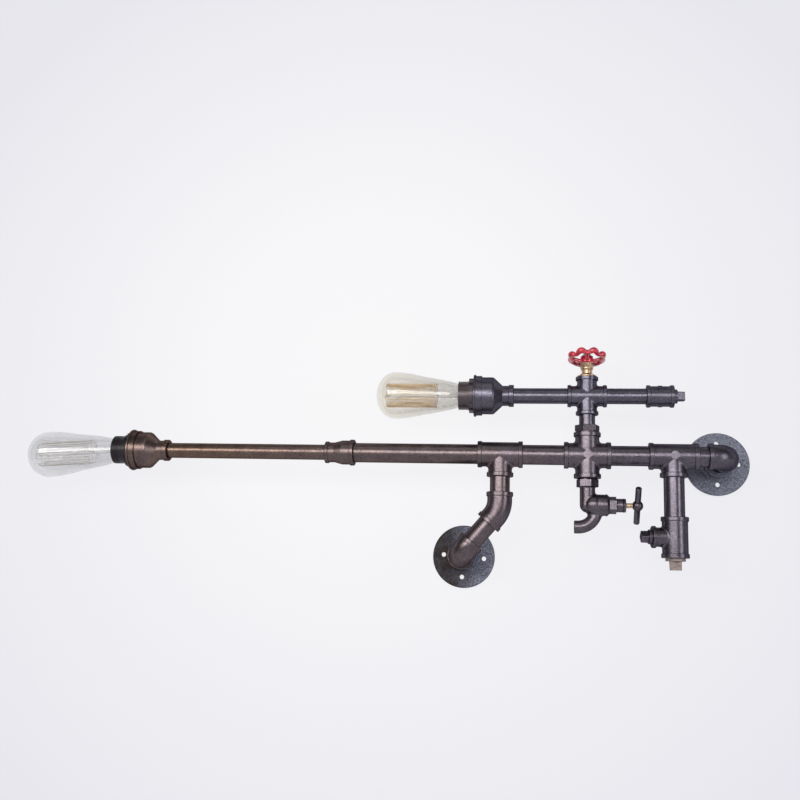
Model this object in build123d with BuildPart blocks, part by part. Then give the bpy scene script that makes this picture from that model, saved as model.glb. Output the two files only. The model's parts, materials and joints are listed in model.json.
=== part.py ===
from build123d import *
from collections import namedtuple
from math import cos, pi, radians, sin
import os

os.makedirs("parts", exist_ok=True)

# A wall sconce screwed together from black gas pipe. Millimetres, +Z up, +X to the right as seen from
# the room, and +Y into the wall. The origin is the centre of the upper flange, on the wall.

# Cuts run past the surface that they leave by this much.
overrun = 2.0

# Pipe and its sockets
joint_gap = 0.1
large_pipe_od = 26.9
large_pipe_bore = 21.7
small_pipe_od = 21.3
small_pipe_bore = 16.1
large_socket_wall = 3.2
small_socket_wall = 3.1
large_engagement = 14.0
small_engagement = 11.0
large_bead_width = 6.0
small_bead_width = 5.0
bead_step = 1.3
bead_round_share = 0.7
branch_body_share = 0.96
large_junction_fillet = 4.0
small_junction_fillet = 3.0
boss_d = 11.0
boss_rise = 0.8

# Flanges on the wall
flange_d = 88.0
flange_thickness = 5.0
flange_hub_d = 39.5
flange_hub_rise = 14.0
flange_hub_draft = 1.5
flange_hub_fillet = 3.0
flange_edge_round = 1.4
flange_hole_d = 6.4
flange_pcd = 57.5
flange_hole_count = 4
left_flange_turn = -4.5

# Elbows
elbow_reach = 25.5
elbow_bend_radius = 19.0
elbow_engagement = 11.5
flange_nipple_show = 40.4

# Main line, from the right: the lengths of pipe that show between the fittings, and half the fittings
short_nipple_show = 12.5
drop_tee_half = 32.0
right_nipple_show = 49.5
cross_half = 31.0
left_nipple_show = 55.0
leg_tee_half = 30.5
thick_pipe_show = 171.0
reducer_length = 41.0
thin_pipe_show = 228.5

# Reducing socket between the thick and the thin pipe
reducer_waist_share = 0.32
reducer_shoulder_share = 0.58
reducer_waist_round = 3.0
reducer_shoulder_round = 5.0

# Upper line and the riser that carries it
small_cross_half = 26.2
riser_show = 14.1
bushing_hex_flats = 29.0
bushing_hex_height = 8.3
bushing_neck_height = 1.5
bushing_turn = 10.0
bushing_chamfer = 0.5
front_pipe_show = 72.6
rear_pipe_show = 52.3
coupling_length = 36.0
coupling_rib_width = 5.0
coupling_rib_rise = 0.8

# Drop leg and its plugs
drop_branch_reach = 28.0
drop_pipe_show = 51.8
end_tee_half = 26.8
end_tee_branch_reach = 30.5
end_tee_branch_turn = 6.0
end_tee_branch_wall = 2.4
drop_lean = 0.0
large_collar_d = 26.0
large_collar_height = 4.0
large_plug_head = 16.0
large_plug_head_height = 11.6
large_plug_turn = 8.0
small_collar_d = 19.0
small_collar_height = 4.2
small_plug_head = 12.2
small_plug_head_height = 9.8
side_plug_turn = 45
plug_head_taper = 2.0
plug_corner_round = 1.6

# Leg to the lower flange
leg_bend = 40.6
leg_nipple_show = 20.6
leg_elbow_reach = 24.0
leg_elbow_radius = 34.0
leg_length = 81.7

# Bell reducers that hold the lampholders
bell_length = 54.5
bell_body_d = 51.2
bell_wall = 3.8
bell_bead_step = 1.8
bell_lip_step = 1.7
bell_lip_width = 2.8
bell_bead_share = 0.2
bell_body_share = 0.49
bell_cone_share = 0.72
bell_neck_share = 0.87
bell_shoulder_round = 5.0
bell_holder_clearance = 1.0

# Lampholders
lower_holder_out = 25.8
upper_holder_out = 21.0
holder_length = 46.0
holder_d = 39.6
holder_wall = 1.2
holder_mouth_depth = 13.0
holder_rib_pitch = 2.4
holder_rib_depth = 0.7
holder_rib_count = 4
ring_width = 6.4
ring_rise = 4.2
ring_notch_width = 4.5
ring_notch_depth = 2.2
ring_notch_count = 12
contact_d = 9.0
contact_thickness = 1.2
core_thickness = 6.0
shell_wall = 0.6
shell_gap = 0.3

# Bulbs: an Edison screw cap and a long pear of glass with a cage of filament
cap_d = 26.2
cap_length = 23.0
cap_wall = 0.6
cap_thread_pitch = 3.629
cap_thread_depth = 0.9
cap_thread_count = 5
cap_thread_foot_share = 0.33
cap_thread_crest_share = 0.125
cap_tip_height = 3.0
cap_tip_taper = 45
glass_wall = 0.9
glass_d = 65.0
glass_mouth_d = 33.8
glass_foot_d = 21.5
glass_foot_length = 3.0
lower_glass_length = 131.0
upper_glass_length = 115.0
glass_widest_share = 0.775
glass_shoulder_share = 0.46
glass_shoulder_bulge_share = 0.69
lower_bulb_droop = 4.1
stem_foot_d = 17.0
stem_press_d = 6.0
stem_rod_d = 2.6
stem_press_share = 0.24
stem_end_share = 0.9
cage_d = 33.0
cage_start_share = 0.27
cage_end_share = 0.87
cage_strand_count = 12
cage_wire_d = 0.8
cage_bend = 2.0
support_wire_d = 0.9
support_arm_count = 6
support_collar_height = 1.6
wire_gap = 0.15

# Valve on the upper cross, with its lobed handwheel
bonnet_collar_d = 26.0
bonnet_collar_height = 1.6
bonnet_cone_height = 3.2
bonnet_neck_d = 14.4
bonnet_neck_height = 4.4
bonnet_flare_d = 17.2
bonnet_flare_height = 3.4
spindle_d = 6.5
spindle_gap = 0.06
valve_nut_flats = 15.8
valve_nut_height = 7.0
valve_nut_turn = 12.0
valve_disc_d = 16.0
valve_disc_height = 4.0
valve_lift = 5.0
valve_clearance = 1.2
wheel_clearance = 0.6
wheel_ring_rise = 5.9
wheel_apothem = 19.4
wheel_lobe_r = 6.4
wheel_waist_r = 4.2
wheel_lobe_count = 8
wheel_lobe_fill_share = 0.96
wheel_lobe_turn = 22.5
wheel_hub_top_d = 19.0
wheel_hub_foot_d = 15.5
wheel_hub_height = 10.0
wheel_hub_dish = 1.4
wheel_spoke_count = 4
wheel_spoke_width = 7.0
wheel_spoke_height = 4.6
wheel_nut_flats = 10.0
wheel_nut_height = 3.0

# Tap under the lower cross
tap_neck_d = 20.4
tap_thread_show = 1.5
tap_thread_d = 25.6
tap_hex_flats = 26.0
tap_hex_height = 10.2
tap_hex_turn = 14.0
tap_drop = 35.2
tap_wall = 3.0
tap_chamber_d = 29.6
tap_chamber_shift = 8.5
barrel_d = 28.2
barrel_length = 24.2
barrel_fillet = 3.2
tap_collar_d = 29.4
tap_collar_width = 4.4
tap_collar_chamfer = 3.2
seat_x = 9.0
seat_d = 9.0
spout_d = 17.2
spout_start = 11.4
spout_drop = 5.5
spout_radius = 24.0
spout_end_length = 5.1
passage_drop = 5.4
tap_bonnet_hex_flats = 20.0
tap_bonnet_hex_width = 8.9
tap_bonnet_neck_width = 0.4
tap_gland_d = 18.0
tap_gland_width = 8.6
tap_gland_round = 1.2
tap_gland_lip_d = 18.8
tap_gland_lip_width = 3.3
tap_gland_lip_taper = 10
tap_spindle_d = 6.8
tap_spindle_show = 8.0
tap_lift = 3.5
jumper_clearance = 1.0
jumper_d = 13.0
jumper_thickness = 3.0
hub_ball_d = 14.6
bar_d = 8.0
bar_length = 57.5
bar_turn = 40.0
bar_round = 1.2

# Leads inside the pipes
lead_d = 4.4
lead_spacing = 6.0
lead_bend = 12.0
lead_offset_bend = 120.0

# Places that follow from the sizes above. The pipes lie in one plane in front of the wall.
flange_height = flange_thickness + flange_hub_rise
axis_y = -(flange_height + flange_nipple_show + elbow_reach)
drop_tee_x = -(elbow_reach + short_nipple_show + drop_tee_half)
cross_x = drop_tee_x - drop_tee_half - right_nipple_show - cross_half
leg_tee_x = cross_x - cross_half - left_nipple_show - leg_tee_half
reducer_x = leg_tee_x - leg_tee_half - thick_pipe_show
thin_pipe_x = reducer_x - reducer_length
lower_bell_x = thin_pipe_x - thin_pipe_show
riser_z = cross_half + bushing_neck_height + bushing_hex_height
upper_z = riser_z + riser_show + small_cross_half
upper_bell_x = cross_x - small_cross_half - front_pipe_show
coupling_x = cross_x + small_cross_half + rear_pipe_show
end_tee_drop = drop_branch_reach + drop_pipe_show + end_tee_half
leg_elbow_z = -(leg_tee_half + leg_nipple_show + leg_elbow_reach)
leg_dir = Vector(-sin(radians(leg_bend)), 0, -cos(radians(leg_bend)))
leg_elbow = Vector(leg_tee_x, axis_y, leg_elbow_z)
left_elbow = leg_elbow + leg_dir * leg_length
right = Vector(1, 0, 0)
left = Vector(-1, 0, 0)
up = Vector(0, 0, 1)
down = Vector(0, 0, -1)
wall = Vector(0, 1, 0)
drop_dir = Vector(0, sin(radians(drop_lean)), -cos(radians(drop_lean)))
drop_front = Vector(0, -cos(radians(drop_lean)), -sin(radians(drop_lean)))

Pipe = namedtuple("Pipe", "od bore wall engagement bead_width junction")
large = Pipe(large_pipe_od, large_pipe_bore, large_socket_wall, large_engagement, large_bead_width,
             large_junction_fillet)
small = Pipe(small_pipe_od, small_pipe_bore, small_socket_wall, small_engagement, small_bead_width,
             small_junction_fillet)


def socket_r(pipe):
    """Radius of the bore that takes this pipe."""
    return pipe.od / 2 + joint_gap


def body_r(pipe):
    """Radius of the cast wall round that bore."""
    return socket_r(pipe) + pipe.wall


def bead_r(pipe):
    """Radius of the raised ring at a mouth."""
    return body_r(pipe) + bead_step


def axial(x, z):
    """A plane for profiles of turned pieces: local x runs along the pipe and local y is the radius."""
    return Plane(origin=(x, axis_y, z), x_dir=(1, 0, 0), z_dir=(0, -1, 0))


def make_pipe(name, start, direction, show, first, second):
    """A pipe that shows over a length and is screwed into a fitting at each end by first and second."""
    size = large if name in large_pipes else small
    with BuildPart() as tube:
        with BuildSketch(Plane(origin=start - direction * first, z_dir=direction)):
            Circle(size.od / 2)
            Circle(size.bore / 2, mode=Mode.SUBTRACT)
        extrude(amount=first + show + second)
    tube.part.label = name
    export_step(tube.part, f"parts/{name}.step")


def add_mouths(builder, centre, mouths):
    """A bead at the end of each arm of a fitting."""
    for direction, reach, size in mouths:
        with BuildSketch(Plane(origin=centre + direction * (reach - size.bead_width), z_dir=direction)) as mouth:
            Circle(bead_r(size))
        extrude(mouth.sketch, amount=size.bead_width)
        rims = builder.edges().filter_by(GeomType.CIRCLE).filter_by(
            lambda e: abs(e.radius - bead_r(size)) < joint_gap
            and abs((e.arc_center - centre).dot(direction) - reach + size.bead_width / 2) < size.bead_width)
        fillet(rims, radius=bead_step * bead_round_share)


def make_fitting(name, centre, run, reach, size, branches, front=None):
    """A cast tee or cross: a straight run with branches blended into it, and bores that meet inside.

    Where front is given, a plain round boss stands on that side of the body."""
    mouths = [(run, reach, size), (run * -1, reach, size)] + branches
    with BuildPart() as fitting:
        with BuildSketch(Plane(origin=centre - run * reach, z_dir=run)):
            Circle(body_r(size))
        extrude(amount=2 * reach)
        for direction, branch_reach, branch in branches:
            with BuildSketch(Plane(origin=centre, z_dir=direction)):
                Circle(body_r(branch) * branch_body_share)
            extrude(amount=branch_reach)
            saddle = fitting.edges(Select.NEW).filter_by(
                lambda e: e.geom_type not in (GeomType.CIRCLE, GeomType.LINE))
            fillet(saddle, radius=branch.junction)
        add_mouths(fitting, centre, mouths)
        if front:
            with BuildSketch(Plane(origin=centre, z_dir=front)):
                Circle(boss_d / 2)
            extrude(amount=body_r(size) + boss_rise)
        for direction, arm_reach, arm in mouths:
            with BuildSketch(Plane(origin=centre, z_dir=direction)):
                Circle(socket_r(arm))
            extrude(amount=arm_reach + overrun, mode=Mode.SUBTRACT)
    fitting.part.label = name
    export_step(fitting.part, f"parts/{name}.step")


def make_elbow(name, centre, first, second, reach, bend_radius, size, engagement):
    """A cast elbow with a beaded mouth towards first and one towards second."""
    with BuildPart() as fitting:
        with BuildLine() as route:
            FilletPolyline(centre + first * reach, centre, centre + second * reach, radius=bend_radius)
        with BuildSketch(Plane(origin=centre + first * reach, z_dir=first * -1)):
            Circle(body_r(size))
        sweep(path=route.wires()[0])
        add_mouths(fitting, centre, [(first, reach, size), (second, reach, size)])
        with BuildLine() as passage:
            FilletPolyline(centre + first * (reach + overrun), centre,
                           centre + second * (reach + overrun), radius=bend_radius)
        with BuildSketch(Plane(origin=centre + first * (reach + overrun), z_dir=first * -1)):
            Circle(size.bore / 2)
        sweep(path=passage.wires()[0], mode=Mode.SUBTRACT)
        for direction in (first, second):
            with BuildSketch(Plane(origin=centre + direction * (reach - engagement), z_dir=direction)):
                Circle(socket_r(size))
            extrude(amount=engagement + overrun, mode=Mode.SUBTRACT)
    fitting.part.label = name
    export_step(fitting.part, f"parts/{name}.step")


def make_flange(name, centre, turn):
    """A round floor flange, its hub towards the room, with four empty screw holes."""
    with BuildPart() as flange:
        with BuildSketch(Plane(origin=centre, x_dir=(1, 0, 0), z_dir=(0, -1, 0))) as disc:
            Circle(flange_d / 2)
        extrude(amount=flange_thickness)
        fillet(flange.edges().group_by(Axis.Y)[0], radius=flange_edge_round)
        face = Plane(origin=centre - wall * flange_thickness, x_dir=(1, 0, 0), z_dir=(0, -1, 0))
        with BuildSketch(face):
            Circle(flange_hub_d / 2)
        extrude(amount=flange_hub_rise, taper=flange_hub_draft)
        root = flange.edges().filter_by(GeomType.CIRCLE).filter_by(
            lambda e: abs(e.radius - flange_hub_d / 2) < joint_gap)
        fillet(root, radius=flange_hub_fillet)
        fillet(flange.edges().group_by(Axis.Y)[0], radius=bead_step * bead_round_share)
        with BuildSketch(Plane(origin=centre + wall * overrun, x_dir=(1, 0, 0), z_dir=(0, -1, 0))):
            Circle(socket_r(large))
            with PolarLocations(flange_pcd / 2, flange_hole_count, start_angle=turn):
                Circle(flange_hole_d / 2)
        extrude(amount=flange_height + 2 * overrun, mode=Mode.SUBTRACT)
    flange.part.label = name
    export_step(flange.part, f"parts/{name}.step")


Head = namedtuple("Head", "collar_d collar_height width height")
large_head = Head(large_collar_d, large_collar_height, large_plug_head, large_plug_head_height)
small_head = Head(small_collar_d, small_collar_height, small_plug_head, small_plug_head_height)


def make_plug(name, start, direction, flat, size, head, turn):
    """A solid plug: a thread, a collar that shows and a square head with rounded corners."""
    with BuildPart() as plug:
        with BuildSketch(Plane(origin=start - direction * size.engagement, z_dir=direction)):
            Circle(size.od / 2)
        extrude(amount=size.engagement)
        with BuildSketch(Plane(origin=start, z_dir=direction)):
            Circle(head.collar_d / 2)
        extrude(amount=head.collar_height)
        top = Plane(origin=start + direction * head.collar_height, x_dir=flat, z_dir=direction)
        with BuildSketch(top) as square:
            Rectangle(head.width, head.width, rotation=turn)
            fillet(square.vertices(), radius=plug_corner_round)
        extrude(amount=head.height, taper=plug_head_taper)
    plug.part.label = name
    export_step(plug.part, f"parts/{name}.step")


# The pipework. The names of the pipes that have the larger bore:
large_pipes = ("short_nipple", "right_nipple", "left_nipple", "thick_pipe", "drop_pipe", "leg_nipple",
               "leg_pipe")
corner = Vector(0, axis_y, 0)
cross = Vector(cross_x, axis_y, 0)
upper_cross = Vector(cross_x, axis_y, upper_z)
drop_tee = Vector(drop_tee_x, axis_y, 0)
leg_tee = Vector(leg_tee_x, axis_y, 0)
end_tee = drop_tee + drop_dir * end_tee_drop
side_branch = small._replace(wall=end_tee_branch_wall)
end_branch = left * cos(radians(end_tee_branch_turn)) + drop_front * sin(radians(end_tee_branch_turn))

make_flange("right_flange", Vector(0, 0, 0), 0)
make_flange("left_flange", Vector(left_elbow.X, 0, left_elbow.Z), left_flange_turn)
make_elbow("right_elbow", corner, left, wall, elbow_reach, elbow_bend_radius, large, elbow_engagement)
make_elbow("left_elbow", left_elbow, leg_dir * -1, wall, elbow_reach, elbow_bend_radius, large,
           elbow_engagement)
make_pipe("short_nipple", corner + left * elbow_reach, left, short_nipple_show,
          elbow_engagement, large_engagement)
make_fitting("drop_tee", drop_tee, right, drop_tee_half, large, [(drop_dir, drop_branch_reach, large)],
             front=wall * -1)
make_pipe("right_nipple", drop_tee + left * drop_tee_half, left, right_nipple_show,
          large_engagement, large_engagement)
make_fitting("lower_cross", cross, right, cross_half, large,
             [(up, cross_half, large), (down, cross_half, large)], front=wall * -1)
make_pipe("left_nipple", cross + left * cross_half, left, left_nipple_show,
          large_engagement, large_engagement)
make_fitting("leg_tee", leg_tee, right, leg_tee_half, large, [(down, leg_tee_half, large)])
make_pipe("thick_pipe", leg_tee + left * leg_tee_half, left, thick_pipe_show,
          large_engagement, large_engagement)
make_pipe("thin_pipe", Vector(thin_pipe_x, axis_y, 0), left, thin_pipe_show,
          small_engagement, small_engagement)
make_pipe("leg_nipple", leg_tee + down * leg_tee_half, down, leg_nipple_show,
          large_engagement, large_engagement)
make_elbow("leg_elbow", leg_elbow, up, leg_dir, leg_elbow_reach, leg_elbow_radius, large,
           large_engagement)
make_pipe("leg_pipe", leg_elbow + leg_dir * leg_elbow_reach, leg_dir,
          leg_length - leg_elbow_reach - elbow_reach, large_engagement, elbow_engagement)
make_pipe("drop_pipe", drop_tee + drop_dir * drop_branch_reach, drop_dir, drop_pipe_show,
          large_engagement, large_engagement)
make_fitting("end_tee", end_tee, drop_dir, end_tee_half, large,
             [(end_branch, end_tee_branch_reach, side_branch)])
make_plug("bottom_plug", end_tee + drop_dir * end_tee_half, drop_dir, right, large, large_head,
          large_plug_turn)
make_plug("side_plug", end_tee + end_branch * end_tee_branch_reach, end_branch, drop_dir, small,
          small_head, side_plug_turn)
make_pipe("riser_nipple", Vector(cross_x, axis_y, riser_z), up, riser_show,
          small_engagement, small_engagement)
make_fitting("upper_cross", upper_cross, right, small_cross_half, small,
             [(up, small_cross_half, small), (down, small_cross_half, small)])
make_pipe("front_pipe", upper_cross + left * small_cross_half, left, front_pipe_show,
          small_engagement, small_engagement)
make_pipe("rear_pipe", upper_cross + right * small_cross_half, right, rear_pipe_show,
          small_engagement, small_engagement)
make_plug("rear_plug", Vector(coupling_x + coupling_length, axis_y, upper_z), right, wall, small,
          small_head, 0)

# The two nipples between the flanges and the elbows
with BuildPart() as flange_nipples:
    for centre in (corner, left_elbow):
        with BuildSketch(Plane(origin=centre + wall * (elbow_reach - elbow_engagement), z_dir=wall)):
            Circle(large.od / 2)
            Circle(large.bore / 2, mode=Mode.SUBTRACT)
        extrude(amount=elbow_engagement + flange_nipple_show + flange_hub_rise)
flange_nipples.part.label = "flange_nipples"
export_step(flange_nipples.part, "parts/flange_nipples.step")

# Hexagon bushing that steps the lower cross down to the riser
with BuildPart() as bushing:
    with BuildSketch(Plane(origin=(cross_x, axis_y, cross_half - large_engagement), z_dir=(0, 0, 1))):
        Circle(large_pipe_od / 2)
    extrude(amount=large_engagement + bushing_neck_height)
    with BuildSketch(Plane(origin=(cross_x, axis_y, cross_half + bushing_neck_height), z_dir=(0, 0, 1))):
        RegularPolygon(bushing_hex_flats / 2, 6, major_radius=False, rotation=bushing_turn)
    extrude(amount=bushing_hex_height)
    chamfer(bushing.edges().group_by(Axis.Z)[-1], length=bushing_chamfer)
    with BuildSketch(Plane(origin=(cross_x, axis_y, riser_z + overrun), z_dir=(0, 0, -1))):
        Circle(socket_r(small))
    extrude(amount=large_engagement + bushing_neck_height + bushing_hex_height + 2 * overrun,
            mode=Mode.SUBTRACT)
bushing.part.label = "hex_bushing"
export_step(bushing.part, "parts/hex_bushing.step")

# Plain coupling on the end of the rear pipe, with one raised rib round its middle
with BuildPart() as coupling:
    start = Vector(coupling_x, axis_y, upper_z)
    with BuildSketch(Plane(origin=start, z_dir=right)):
        Circle(body_r(small))
    extrude(amount=coupling_length)
    with BuildSketch(Plane(origin=start + right * (coupling_length - coupling_rib_width) / 2, z_dir=right)):
        Circle(body_r(small) + coupling_rib_rise)
    extrude(amount=coupling_rib_width)
    middle = start + right * coupling_length / 2
    add_mouths(coupling, middle, [(left, coupling_length / 2, small), (right, coupling_length / 2, small)])
    with BuildSketch(Plane(origin=start + left * overrun, z_dir=right)):
        Circle(socket_r(small))
    extrude(amount=coupling_length + 2 * overrun, mode=Mode.SUBTRACT)
coupling.part.label = "coupling"
export_step(coupling.part, "parts/coupling.step")

# Reducing socket: a bead at each end, a waist and a shoulder that swells to the wider socket
with BuildPart() as reducer:
    waist_x = reducer_length * reducer_waist_share
    shoulder_x = reducer_length * reducer_shoulder_share
    wide_x = reducer_length - large_bead_width
    with BuildSketch(axial(thin_pipe_x, 0)) as outline:
        with BuildLine():
            Polyline((0, 0), (0, bead_r(small)), (small_bead_width, bead_r(small)),
                     (small_bead_width, body_r(small)), (waist_x, body_r(small)),
                     (shoulder_x, body_r(large)), (wide_x, body_r(large)), (wide_x, bead_r(large)),
                     (reducer_length, bead_r(large)), (reducer_length, 0), close=True)
        make_face()
        waist = outline.vertices().sort_by_distance((waist_x, body_r(small), 0))[0]
        fillet(waist, radius=reducer_waist_round)
        shoulder = outline.vertices().sort_by_distance((shoulder_x, body_r(large), 0))[0]
        fillet(shoulder, radius=reducer_shoulder_round)
    revolve(axis=Axis((thin_pipe_x, axis_y, 0), (1, 0, 0)))
    beads = reducer.edges().filter_by(GeomType.CIRCLE).filter_by(
        lambda e: abs(e.radius - bead_r(large)) < joint_gap or abs(e.radius - bead_r(small)) < joint_gap)
    fillet(beads, radius=bead_step * bead_round_share)
    with BuildSketch(Plane(origin=(reducer_x + overrun, axis_y, 0), z_dir=left)):
        Circle(socket_r(large))
    extrude(amount=large_engagement + overrun, mode=Mode.SUBTRACT)
    with BuildSketch(Plane(origin=(thin_pipe_x - overrun, axis_y, 0), z_dir=right)):
        Circle(socket_r(small))
    extrude(amount=reducer_length, mode=Mode.SUBTRACT)
reducer.part.label = "reducing_socket"
export_step(reducer.part, "parts/reducing_socket.step")


# Lamps

def make_bell(name, small_end_x, z, bore_x):
    """A bell reducer from the thin pipe to the wide mouth that the lampholder sits in."""
    lip_x = small_end_x - bell_length
    bead_x = bell_length * bell_bead_share
    body_x = bell_length * bell_body_share
    cone_x = bell_length * bell_cone_share
    neck_x = bell_length * bell_neck_share
    r_body = bell_body_d / 2
    r_bead = r_body + bell_bead_step
    r_lip = r_bead + bell_lip_step
    r_neck = body_r(small)
    with BuildPart() as bell:
        with BuildSketch(axial(lip_x, z)) as outline:
            with BuildLine():
                Polyline((0, 0), (0, r_lip), (bell_lip_width, r_lip), (bell_lip_width, r_bead),
                         (bead_x, r_bead), (bead_x, r_body), (body_x, r_body), (cone_x, r_neck),
                         (neck_x, r_neck), (neck_x, bead_r(small)), (bell_length, bead_r(small)),
                         (bell_length, 0), close=True)
            make_face()
            shoulder = outline.vertices().sort_by_distance((body_x, r_body, 0))[0]
            fillet(shoulder, radius=bell_shoulder_round)
        revolve(axis=Axis((lip_x, axis_y, z), (1, 0, 0)))
        rings = bell.edges().filter_by(GeomType.CIRCLE).filter_by(
            lambda e: abs(e.radius - r_lip) < joint_gap or abs(e.radius - bead_r(small)) < joint_gap)
        fillet(rings, radius=bead_step * bead_round_share)
        with BuildSketch(axial(lip_x, z)) as hollow:
            with BuildLine():
                Polyline((-overrun, 0), (-overrun, r_body - bell_wall), (bore_x, r_body - bell_wall),
                         (cone_x - bell_wall, small_pipe_bore / 2),
                         (bell_length - small_engagement, small_pipe_bore / 2),
                         (bell_length - small_engagement, socket_r(small)),
                         (bell_length + overrun, socket_r(small)), (bell_length + overrun, 0), close=True)
            make_face()
        revolve(axis=Axis((lip_x, axis_y, z), (1, 0, 0)), mode=Mode.SUBTRACT)
    bell.part.label = name
    export_step(bell.part, f"parts/{name}.step")


Lamp = namedtuple("Lamp", "name end_x mouth_x z out length droop")
lamps = (
    Lamp("lower", lower_bell_x, lower_bell_x - bell_length - lower_holder_out, 0, lower_holder_out,
         lower_glass_length, lower_bulb_droop),
    Lamp("upper", upper_bell_x, upper_bell_x - bell_length - upper_holder_out, upper_z, upper_holder_out,
         upper_glass_length, 0))
holder_r = holder_d / 2
shell_r = cap_d / 2 + shell_gap + shell_wall
core_x = holder_length - core_thickness


def across(lamp, x, direction):
    """A plane across a lamp's axis, x in from the mouth of its holder."""
    return Plane(origin=(lamp.mouth_x + x, axis_y, lamp.z), z_dir=direction)


def lamp_axis(lamp):
    """The axis that a lampholder and its bulb turn about."""
    return Axis((lamp.mouth_x, axis_y, lamp.z), (1, 0, 0))


with BuildPart() as sleeves:
    for lamp in lamps:
        with BuildSketch(axial(lamp.mouth_x, lamp.z)) as section:
            with BuildLine():
                Polyline((0, holder_r - holder_wall), (0, holder_r), (holder_length, holder_r),
                         (holder_length, shell_r + joint_gap), (holder_mouth_depth, shell_r + joint_gap),
                         (holder_mouth_depth, holder_r - holder_wall), close=True)
            make_face()
            for rib in range(holder_rib_count):
                with Locations((holder_rib_pitch * (rib + 1), holder_r)):
                    Rectangle(holder_rib_pitch / 2, 2 * holder_rib_depth, mode=Mode.SUBTRACT)
        revolve(axis=lamp_axis(lamp))
sleeves.part.label = "holder_sleeves"
export_step(sleeves.part, "parts/holder_sleeves.step")

with BuildPart() as rings:
    for lamp in lamps:
        with BuildSketch(across(lamp, lamp.out - ring_width, right)):
            Circle(holder_r + ring_rise)
            Circle(holder_r + joint_gap, mode=Mode.SUBTRACT)
            with PolarLocations(holder_r + ring_rise, ring_notch_count):
                Rectangle(2 * ring_notch_depth, ring_notch_width, mode=Mode.SUBTRACT)
        extrude(amount=ring_width)
rings.part.label = "holder_rings"
export_step(rings.part, "parts/holder_rings.step")

with BuildPart() as cores:
    for lamp in lamps:
        with BuildSketch(across(lamp, core_x, right)):
            Circle(shell_r - joint_gap)
        extrude(amount=core_thickness)
        with BuildSketch(across(lamp, holder_length + overrun, left)):
            Circle(lead_d / 2 + joint_gap)
        extrude(amount=core_thickness / 2 + overrun, mode=Mode.SUBTRACT)
cores.part.label = "holder_cores"
export_step(cores.part, "parts/holder_cores.step")

with BuildPart() as shells:
    for lamp in lamps:
        with BuildSketch(across(lamp, holder_mouth_depth, right)):
            Circle(shell_r)
            Circle(shell_r - shell_wall, mode=Mode.SUBTRACT)
        extrude(amount=core_x - holder_mouth_depth)
shells.part.label = "screw_shells"
export_step(shells.part, "parts/screw_shells.step")

with BuildPart() as contacts:
    for lamp in lamps:
        with BuildSketch(across(lamp, core_x, left)):
            Circle(contact_d / 2)
        extrude(amount=contact_thickness)
contacts.part.label = "centre_contacts"
export_step(contacts.part, "parts/centre_contacts.step")


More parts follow.
